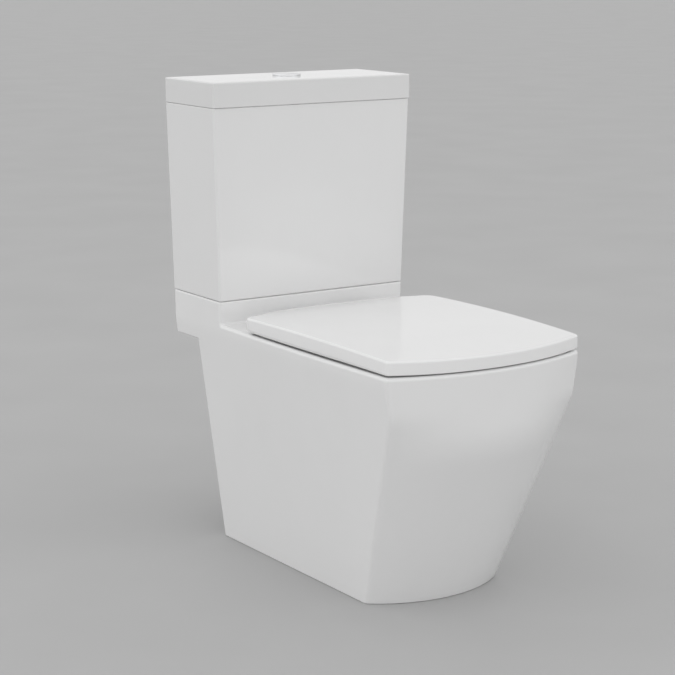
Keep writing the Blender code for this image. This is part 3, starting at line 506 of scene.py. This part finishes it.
def add_insides(pan):
    """Adds the outsides of the bowl, trap, spigot, horn and lugs, then opens the bowl."""
    spigot = ((TRAP[-1][0] + 0.01, SPIGOT_Z), (SPIGOT_END, SPIGOT_Z))
    lugs = []
    for side in (1, -1):
        ends = sorted(side * x for x in LUG_X)
        lugs.append(box("lug", (ends[0], LUG_DEPTH[0], 0.0), (ends[1], LUG_DEPTH[1], LUG_TOP)))
    join(pan, bowl_body("bowl_outside", BOWL_WALL), pipe("trap_outside", TRAP, TRAP_RADIUS[1]),
         pipe("spigot_outside", spigot, SPIGOT_RADIUS[1], 1),
         pipe("horn_outside", HORN, HORN_RADIUS[1], 1, 24),
         drum("horn_boss", 0.060, 0.388, 0.420, (0.0, FLUSH_Y)), *lugs)
    cut(pan, bowl_body("bowl_inside", 0.0))
    middle, length, width = OPENING
    length, width = length + FLANGE_WALL, width + FLANGE_WALL
    join(pan, loft("rim_flange", [oval_ring(middle, length, width, z) for z in (FLANGE_Z, 0.383)]))


def open_passages(pan):
    """Cuts the rounded mouth, the trap and the way in for the flush."""
    middle, length, width = OPENING
    mouth = [oval_ring(middle, length, width, z) for z in (0.34, 0.375)]
    mouth += [oval_ring(middle, length + inset, width + inset, RIM_Z - drop)
              for inset, drop in edge_steps(OPENING_EDGE, 8)]
    mouth.append(oval_ring(middle, length + 0.007, width + 0.007, RIM_Z + 0.01))
    bore = ((TRAP[-1][0] + 0.02, SPIGOT_Z), (SPIGOT_END - 0.01, SPIGOT_Z))
    center = (0.0, FLUSH_Y)
    cut(pan, loft("rim_mouth", mouth), pipe("trap_inside", TRAP, TRAP_RADIUS[0]),
        pipe("spigot_inside", bore, SPIGOT_RADIUS[0], 1),
        pipe("horn_inside", HORN, HORN_RADIUS[0], 1, 24),
        drum("inlet_seat", 0.0500, 0.3980, 0.44, center),
        drum("inlet_throat", 0.0315, 0.384, 0.41, center))


def drill(pan):
    """Cuts the holes for the inlet's tail, coupling bolts, seat's studs and floor screws."""
    holes = [drum("tail_hole", 0.0200, 0.40, 0.44, (INLET_X, FLUSH_Y), 32)]
    (bolt_x, bolt_depth), (screw_x, screw_depth) = SEAT_BOLT, FLOOR_SCREW
    for side in (-1, 1):
        holes.append(drum("coupling_hole", 0.0065, 0.40, 0.44, (side * COUPLING_X, FLUSH_Y), 24))
        holes.append(drum("seat_hole", 0.0070, 0.35, 0.40, (side * bolt_x, bolt_depth), 24))
        holes.append(drum("foot_hole", 0.0045, -0.01, 0.03, (side * screw_x, screw_depth), 24))
    cut(pan, *holes)


def make_pan():
    pan = pan_block()
    hollow_out(pan)
    add_insides(pan)
    open_passages(pan)
    drill(pan)
    return polish(pan)


# ---------------------------------------------------------------- cistern

def make_cistern():
    low, high = CISTERN_Z

    def ring(z, inset, radii=(0.002, 0.004)):
        share = (z - low) / (high - low)
        half = CISTERN_HALF[0] + (CISTERN_HALF[1] - CISTERN_HALF[0]) * share
        deep = CISTERN_DEPTH[0] + (CISTERN_DEPTH[1] - CISTERN_DEPTH[0]) * share
        return box_ring(half, 0.0, deep, radii, z, inset)

    foot = [ring(low + drop, inset) for inset, drop in edge_steps(0.0024)][::-1]
    top = [ring(high - drop, inset) for inset, drop in edge_steps(0.0012, 3)]
    cistern = loft("cistern_ceramic", foot + top)
    corners = (0.016, 0.016)
    inside = [ring(CISTERN_FLOOR + drop, CISTERN_WALL + inset, corners)
              for inset, drop in reversed(edge_steps(0.008))]
    inside += [ring(high + rise, CISTERN_WALL - rise, corners) for rise in (-0.001, 0.002)]
    tools = [loft("cistern_hollow", inside), drum("valve_hole", 0.0325, 0.42, 0.45, (0.0, FLUSH_Y)),
             drum("inlet_hole", 0.0110, 0.42, 0.45, (INLET_X, FLUSH_Y), 32)]
    for x in (-COUPLING_X, COUPLING_X):
        tools.append(drum("bolt_hole", 0.0050, 0.42, 0.45, (x, FLUSH_Y), 24))
    cut(cistern, *tools)
    return polish(cistern)


def make_cover():
    low, high = COVER_Z

    def ring(z, inset, radii=(0.002, 0.0036)):
        return box_ring(COVER_HALF, 0.0, COVER_DEPTH, radii, z, inset)

    foot = [ring(low + drop, inset) for inset, drop in edge_steps(0.0014, 3)][::-1]
    top = [ring(high - drop, inset) for inset, drop in edge_steps(0.0022, 6)]
    cover = loft("cistern_cover_ceramic", foot + top)
    rib = [ring(z, RIB_INSET, (0.012, 0.012)) for z in (low - 0.008, low + 0.02)]
    join(cover, loft("locating_rib", rib))
    roof, corners = high - COVER_WALL, (0.030, 0.030)
    inside = [ring(low - 0.01, COVER_HOLLOW_INSET, corners)]
    inside += [ring(roof - drop, COVER_HOLLOW_INSET + inset, corners)
               for inset, drop in edge_steps(0.006)]
    cut(cover, loft("cover_hollow", inside),
        drum("button_hole", 0.0206, high - 0.02, high + 0.01, (0.0, BUTTON_Y), 64))
    return polish(cover)


# ---------------------------------------------------------------- seat

def seat_top(depth):
    """Height of the crowned top of the seat's lid."""
    fall = CROWN_FALL[0] if depth < CROWN_DEPTH else CROWN_FALL[1]
    return CROWN_Z - fall * (depth - CROWN_DEPTH) ** 2


def seat_outline(inset, fillet=0.005):
    """The seat lid's outline moved in by inset, with its front corners rounded off by fillet."""
    corner, middle = SEAT_FRONT
    rear = [(x, between(SEAT_REAR, x) + inset) for x in spaced(0.0, 0.160, 18)]
    first = (rear[-1][0] - inset * 0.4, rear[-1][1])
    side_half = SEAT_SIDE[0][1] - inset
    last = (side_half, SEAT_SIDE[0][0] + inset * 0.4)
    turn = rounded(first, (side_half, first[1] + 0.001), last, 12)
    side = [(between(SEAT_SIDE, depth) - inset, depth) for depth in spaced(0.268, 0.612, 18)]
    front = front_arc(SEAT_SIDE[-1][1] - inset, corner - inset, middle - inset, fillet)
    return mirrored(rear[:-1] + turn + side + front)


def crowned(outline, drop):
    return [(x, wall_y(depth), seat_top(depth) - drop) for x, depth in outline]


def seat_shell(name, inset, fillet, bottom, drop, edge):
    """The seat lid's shape: a skirt from the bottom up to a crowned top with a rounded edge."""
    edges = [crowned(seat_outline(inset + into, fillet), drop + down)
             for into, down in edge_steps(edge, 6)]
    inner, center = seat_outline(inset + edge, fillet), 0.43
    top = []
    for share in spaced(0.96, 0.02, 18):
        shrunk = [(x * share, center + (depth - center) * share) for x, depth in inner]
        top.append(crowned(shrunk, drop))
    return loft(name, bottom + edges + top)


def lid_foot(steps=6):
    """The lid's lower edge: well rounded along its sides, crisp and a little lower in front."""
    widest = LID_EDGE[0][1]
    outside, inside = seat_outline(0.0), seat_outline(widest)
    rings = []
    for turn in spaced(math.pi / 2, 0.0, steps):
        ring = []
        for (x, depth), (inner_x, inner_depth) in zip(outside, inside):
            radius = between(LID_EDGE, depth)
            low = SEAT_LID_Z - between(LID_DIP, depth)
            share = radius * (1 - math.cos(turn)) / widest
            ring.append((x + (inner_x - x) * share, wall_y(depth + (inner_depth - depth) * share),
                         low + radius * (1 - math.sin(turn))))
        rings.append(ring)
    return rings


def pin_bore(name, side):
    """A tool for the bore that the hinge pin runs in."""
    return cross_rod(name, PIN_BORE, *sorted(side * x for x in PIN_REACH), AXIS_Y, AXIS_Z, 24)


def make_seat_lid():
    lid = seat_shell("seat_lid_resin", 0.0, 0.005, lid_foot(), 0.0, 0.0036)
    below = [level(seat_outline(SEAT_SKIRT, 0.004), SEAT_LID_Z - 0.01)]
    cut(lid, seat_shell("lid_hollow", SEAT_SKIRT, 0.004, below, SEAT_WALL, 0.0030))
    for side in (-1, 1):
        bosses = []
        for pair in LID_BOSSES:
            ends = sorted(side * x for x in pair)
            low = (ends[0], AXIS_Y - 0.0046, AXIS_Z - 0.0055)
            bosses.append(box("boss", low, (ends[1], AXIS_Y + 0.006, 0.4130)))
        join(lid, *bosses)
        ends = sorted((side * LID_BOSSES[0][1], side * LID_BOSSES[1][0]))
        high = (ends[1], AXIS_Y + 0.016, AXIS_Z + 0.0048)
        cut(lid, box("hinge_notch", (ends[0], 0.19, 0.38), high),
            cross_rod("hinge_room", 0.0064, ends[0], ends[1], AXIS_Y, AXIS_Z),
            pin_bore("pin_bore", side))
    half, front, top = NOSE_RELIEF
    cut(lid, box("nose_relief", (-half, 0.19, 0.38), (half, front, top)))
    return polish(lid)


def make_seat_ring():
    low, high = SEAT_RING_Z

    def outline(inset):
        return [(x, max(depth, 0.2365 + inset)) for x, depth in seat_outline(0.0085 + inset, 0.012)]

    foot = [level(outline(inset), low + drop) for inset, drop in edge_steps(0.0014, 4)][::-1]
    top = [level(outline(inset), high - drop) for inset, drop in edge_steps(0.0040, 6)]
    ring = loft("seat_ring_resin", foot + top)
    middle, length, width = SEAT_HOLE
    hole = [oval_ring(middle, length, width, z) for z in (low - 0.01, high - 0.006)]
    hole += [oval_ring(middle, length + inset, width + inset, high - drop)
             for inset, drop in edge_steps(0.0050, 6)]
    hole.append(oval_ring(middle, length + 0.006, width + 0.006, high + 0.01))
    cut(ring, loft("seat_hole", hole))
    for side in (-1, 1):
        lugs = []
        for pair in RING_LUGS:
            ends = sorted(side * x for x in pair)
            lugs.append(box("lug", (ends[0], AXIS_Y, AXIS_Z - 0.0045), (ends[1], 0.250, 0.4065)))
            lugs.append(cross_rod("lug_end", 0.0050, ends[0], ends[1], AXIS_Y, AXIS_Z))
        join(ring, *lugs)
        cut(ring, pin_bore("lug_bore", side))
    return polish(ring)


# ---------------------------------------------------------------- buttons

def make_bezel():
    top, foot, neck = COVER_Z[1], 0.7580, 0.0202
    inner, outer = BEZEL_RADII
    profile = [(inner, foot), (neck, foot), (neck, top + GAP)]
    profile += [(outer - 0.0002, top + GAP), (outer, top + 0.0005)]
    crest = top + BEZEL_RISE
    profile += [(outer - inset, crest - drop) for inset, drop in edge_steps(0.0004, 4)]
    profile += [(inner + inset, crest - drop) for inset, drop in reversed(edge_steps(0.0009, 5))]
    return polish(turned("button_bezel_chrome", profile, (0.0, BUTTON_Y), 96), 40)


def make_button(name, first, last):
    """Part of the round button between two X positions, with rounded edges."""
    low, high = (COVER_Z[1] + rise for rise in BUTTON_SPAN)
    rings = [moon(first, last, 0.0, low), moon(first, last, 0.0, high - 0.0012)]
    rings += [moon(first, last, inset, high - drop) for inset, drop in edge_steps(0.0011, 5)[1:]]
    return polish(loft(name, rings), 40)


def moon(first, last, inset, z, steps=28):
    """A level slice of the button's circle between two X positions, moved in by inset."""
    small = BUTTON_RADIUS - inset
    start, end = max(first + inset, -small + 1e-5), min(last - inset, small - 1e-5)
    angles = spaced(math.acos(start / small), math.acos(end / small), steps)
    half = [(small * math.cos(a), small * math.sin(a)) for a in angles]
    points = [(x, BUTTON_Y + y) for x, y in half] + [(x, BUTTON_Y - y) for x, y in reversed(half)]
    return level(points, z)


# ---------------------------------------------------------------- materials

def new_material(name):
    made = bpy.data.materials.new(name)
    made.use_nodes = True
    return made, made.node_tree, made.node_tree.nodes["Principled BSDF"]


def noise(tree, scale, detail=3.0, stretch=(1.0, 1.0, 1.0)):
    """Noise in the object's own coordinates."""
    place = tree.nodes.new("ShaderNodeTexCoord")
    mapping = tree.nodes.new("ShaderNodeMapping")
    mapping.inputs["Scale"].default_value = stretch
    made = tree.nodes.new("ShaderNodeTexNoise")
    made.inputs["Scale"].default_value = scale
    made.inputs["Detail"].default_value = detail
    tree.links.new(place.outputs["Object"], mapping.inputs["Vector"])
    tree.links.new(mapping.outputs["Vector"], made.inputs["Vector"])
    return made.outputs["Fac"]


def ramp(tree, value, low, high, target):
    """Sends a value through a ramp between two colours to a socket."""
    made = tree.nodes.new("ShaderNodeValToRGB")
    for element, color, position in zip(made.color_ramp.elements, (low, high), (0.3, 0.7)):
        element.color = (*color, 1.0)
        element.position = position
    tree.links.new(value, made.inputs["Fac"])
    tree.links.new(made.outputs["Color"], target)


def bump(tree, shader, value, distance, strength=1.0):
    made = tree.nodes.new("ShaderNodeBump")
    made.inputs["Distance"].default_value = distance
    made.inputs["Strength"].default_value = strength
    tree.links.new(value, made.inputs["Height"])
    tree.links.new(made.outputs["Normal"], shader.inputs["Normal"])


def grey(value):
    return (value, value, value)


def glaze(name, tint):
    """Fired white glaze: a clear gloss over a faintly uneven body."""
    made, tree, shader = new_material(name)
    ramp(tree, noise(tree, 9.0, 4.0), [c * 0.985 for c in tint], tint, shader.inputs["Base Color"])
    ramp(tree, noise(tree, 30.0, 2.0), grey(0.045), grey(0.075), shader.inputs["Roughness"])
    shader.inputs["IOR"].default_value = 1.5
    shader.inputs["Coat Weight"].default_value = 0.35
    shader.inputs["Coat Roughness"].default_value = 0.03
    bump(tree, shader, noise(tree, 14.0, 1.5), 0.00022, 0.35)
    return made


def resin(name, tint):
    """Moulded white seat resin, smooth with a very fine moulded texture."""
    made, tree, shader = new_material(name)
    ramp(tree, noise(tree, 12.0, 3.0), [c * 0.988 for c in tint], tint, shader.inputs["Base Color"])
    ramp(tree, noise(tree, 60.0, 2.0), grey(0.07), grey(0.11), shader.inputs["Roughness"])
    shader.inputs["IOR"].default_value = 1.5
    bump(tree, shader, noise(tree, 22.0, 1.5), 0.00010, 0.3)
    return made


def chrome(name):
    """Bright plating with faintly uneven polish."""
    made, tree, shader = new_material(name)
    dark, light = (0.68, 0.685, 0.695), (0.74, 0.74, 0.75)
    ramp(tree, noise(tree, 40.0, 3.0), dark, light, shader.inputs["Base Color"])
    ramp(tree, noise(tree, 120.0, 3.0), grey(0.04), grey(0.08), shader.inputs["Roughness"])
    shader.inputs["Metallic"].default_value = 1.0
    return made


def metal(name, dark, light, grain):
    """Turned or zinc-plated metal with fine marks along its length."""
    made, tree, shader = new_material(name)
    marks = noise(tree, grain, 5.0, (1.0, 1.0, 0.15))
    ramp(tree, marks, dark, light, shader.inputs["Base Color"])
    ramp(tree, marks, grey(0.38), grey(0.24), shader.inputs["Roughness"])
    shader.inputs["Metallic"].default_value = 1.0
    bump(tree, shader, marks, 0.00005, 0.5)
    return made


def matt(name, dark, light, grain, rough, relief):
    """Rubber, foam or plain moulded plastic, by its grain and relief."""
    made, tree, shader = new_material(name)
    marks = noise(tree, grain, 6.0)
    ramp(tree, marks, dark, light, shader.inputs["Base Color"])
    ramp(tree, marks, grey(rough), grey(min(rough + 0.12, 1.0)), shader.inputs["Roughness"])
    bump(tree, shader, marks, relief, 0.6)
    return made


def dress(obj, look):
    obj.data.materials.clear()
    obj.data.materials.append(look)


# ---------------------------------------------------------------- assembly

def place_pieces(looks):
    """Builds the visible pieces and puts each on its body in place of its CAD node."""
    pieces = (
        (make_pan(), "fixed_suite", "pan", "pan_glaze"),
        (make_cistern(), "fixed_suite", "cistern", "cistern_glaze"),
        (make_cover(), "cistern_cover", "cistern_lid", "cistern_lid_glaze"),
        (make_seat_lid(), "lid_assembly", "seat_lid", "seat_resin"),
        (make_seat_ring(), "ring_assembly", "seat_ring", "seat_ring_resin"),
        (make_bezel(), "cistern_cover", "button_bezel", "chrome_plate"),
        (make_button("full_button_chrome", -BUTTON_RADIUS, BUTTON_SPLIT[0]),
         "full_button", "full_flush_button", "chrome_plate"),
        (make_button("half_button_chrome", BUTTON_SPLIT[1], BUTTON_RADIUS),
         "half_button", "half_flush_button", "chrome_plate"),
    )
    for piece, body, node, slot in pieces:
        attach(piece, body)
        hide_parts(node)
        dress(piece, looks[slot])
    return {node for _, _, node, _ in pieces}


def dress_nodes(looks, replaced):
    """Gives every CAD node that stays its finish and slightly eased edges."""
    slots = {part["node"]: part["material_slot"] for part in frame["record"]["subparts"]}
    for name, node in frame["nodes"].items():
        if name in replaced:
            continue
        for slot in node.material_slots:
            slot.material = looks[slots[name]]
        bevel = node.modifiers.new("Eased", "BEVEL")
        bevel.width = 0.0003
        bevel.segments = 2
        bevel.limit_method = "ANGLE"
        bevel.harden_normals = True


def make_looks():
    """One material for each slot name in the record."""
    return {
        "pan_glaze": glaze("pan_glaze_look", grey(0.82)),
        "cistern_glaze": glaze("cistern_glaze_look", grey(0.80)),
        "cistern_lid_glaze": glaze("cistern_cover_glaze_look", grey(0.755)),
        "seat_resin": resin("seat_resin_look", grey(0.85)),
        "seat_ring_resin": resin("seat_ring_resin_look", grey(0.85)),
        "chrome_plate": chrome("chrome_plate_look"),
        "bright_steel": metal("bright_steel_look", (0.50, 0.50, 0.51), (0.66, 0.66, 0.67), 300.0),
        "plain_brass": metal("plain_brass_look", (0.60, 0.44, 0.20), (0.76, 0.59, 0.31), 260.0),
        "soft_rubber": matt("soft_rubber_look", grey(0.035), grey(0.06), 500.0, 0.62, 0.00008),
        "white_polymer": matt("white_polymer_look", (0.70, 0.70, 0.68), (0.76, 0.76, 0.74),
                              350.0, 0.34, 0.00004),
        "float_foam": matt("float_foam_look", (0.09, 0.14, 0.24), (0.14, 0.20, 0.32),
                           700.0, 0.70, 0.00020),
    }


# ---------------------------------------------------------------- stage

def make_floor():
    made, tree, shader = new_material("studio_floor")
    ramp(tree, noise(tree, 3.0, 2.0), grey(0.47), grey(0.49), shader.inputs["Base Color"])
    shader.inputs["Roughness"].default_value = 0.75
    sides = ((-1, -1), (1, -1), (1, 1), (-1, 1))
    corners = [(x * FLOOR_REACH, y * FLOOR_REACH, -0.0005) for x, y in sides]
    floor = add_mesh("studio_floor", corners, [(0, 1, 2, 3)])
    dress(floor, made)


def make_world():
    """A sky of plain white light whose strength varies with direction."""
    world = bpy.data.worlds.new("studio")
    bpy.context.scene.world = world
    world.use_nodes = True
    tree = world.node_tree
    place = tree.nodes.new("ShaderNodeTexCoord")
    strengths = []
    parts = (((0.0, 0.0, 1.0), 0.0, SKY), (SKY_SIDE, -1.0, (1 - SKY_LEAN, 1 + SKY_LEAN)),
             (SKY_DIM, DIP_START, (1.0, 1 - SKY_DIP)))
    for toward, start, ends in parts:
        along, fade = tree.nodes.new("ShaderNodeVectorMath"), tree.nodes.new("ShaderNodeMapRange")
        along.operation = "DOT_PRODUCT"
        along.inputs[1].default_value = toward
        fade.inputs["From Min"].default_value, fade.inputs["From Max"].default_value = start, 1.0
        fade.inputs["To Min"].default_value, fade.inputs["To Max"].default_value = ends
        tree.links.new(place.outputs["Generated"], along.inputs[0])
        tree.links.new(along.outputs["Value"], fade.inputs["Value"])
        strengths.append(fade.outputs["Result"])
    product = strengths[0]
    for strength in strengths[1:]:
        both = tree.nodes.new("ShaderNodeMath")
        both.operation = "MULTIPLY"
        tree.links.new(product, both.inputs[0])
        tree.links.new(strength, both.inputs[1])
        product = both.outputs["Value"]
    tree.links.new(product, tree.nodes["Background"].inputs["Strength"])
    tree.nodes["Background"].inputs["Color"].default_value = (1.0, 1.0, 1.0, 1.0)


def make_light():
    """One weak, wide lamp overhead, aimed at the pan."""
    light = bpy.data.lights.new("overhead", "AREA")
    light.shape = "RECTANGLE"
    light.size = light.size_y = 4.0
    light.energy = 6.0
    obj = bpy.data.objects.new("overhead", light)
    place, target = Vector((0.0, -0.2, 3.2)), Vector((0.0, 0.0, 0.4))
    obj.location = place
    obj.rotation_euler = (target - place).to_track_quat("-Z", "Y").to_euler()
    bpy.context.scene.collection.objects.link(obj)


def make_camera():
    """The viewpoint: 33.5 degrees round to the object's right-hand side and 11.6 degrees up."""
    data = bpy.data.cameras.new("camera")
    data.lens, data.sensor_width = 103.14, 36.0
    data.clip_end = 50.0
    camera = bpy.data.objects.new("camera", data)
    camera.location = (-1.74329, -2.52421, 1.01139)
    back = Vector((-0.54121, -0.81631, 0.20182))
    camera.rotation_mode = "QUATERNION"
    camera.rotation_quaternion = (-back).to_track_quat("-Z", "Y")
    bpy.context.scene.collection.objects.link(camera)
    bpy.context.scene.camera = camera


def main():
    looks = make_looks()
    replaced = place_pieces(looks)
    dress_nodes(looks, replaced)
    make_floor()
    make_world()
    make_light()
    make_camera()
    bpy.context.scene.view_settings.view_transform = "Standard"


main()
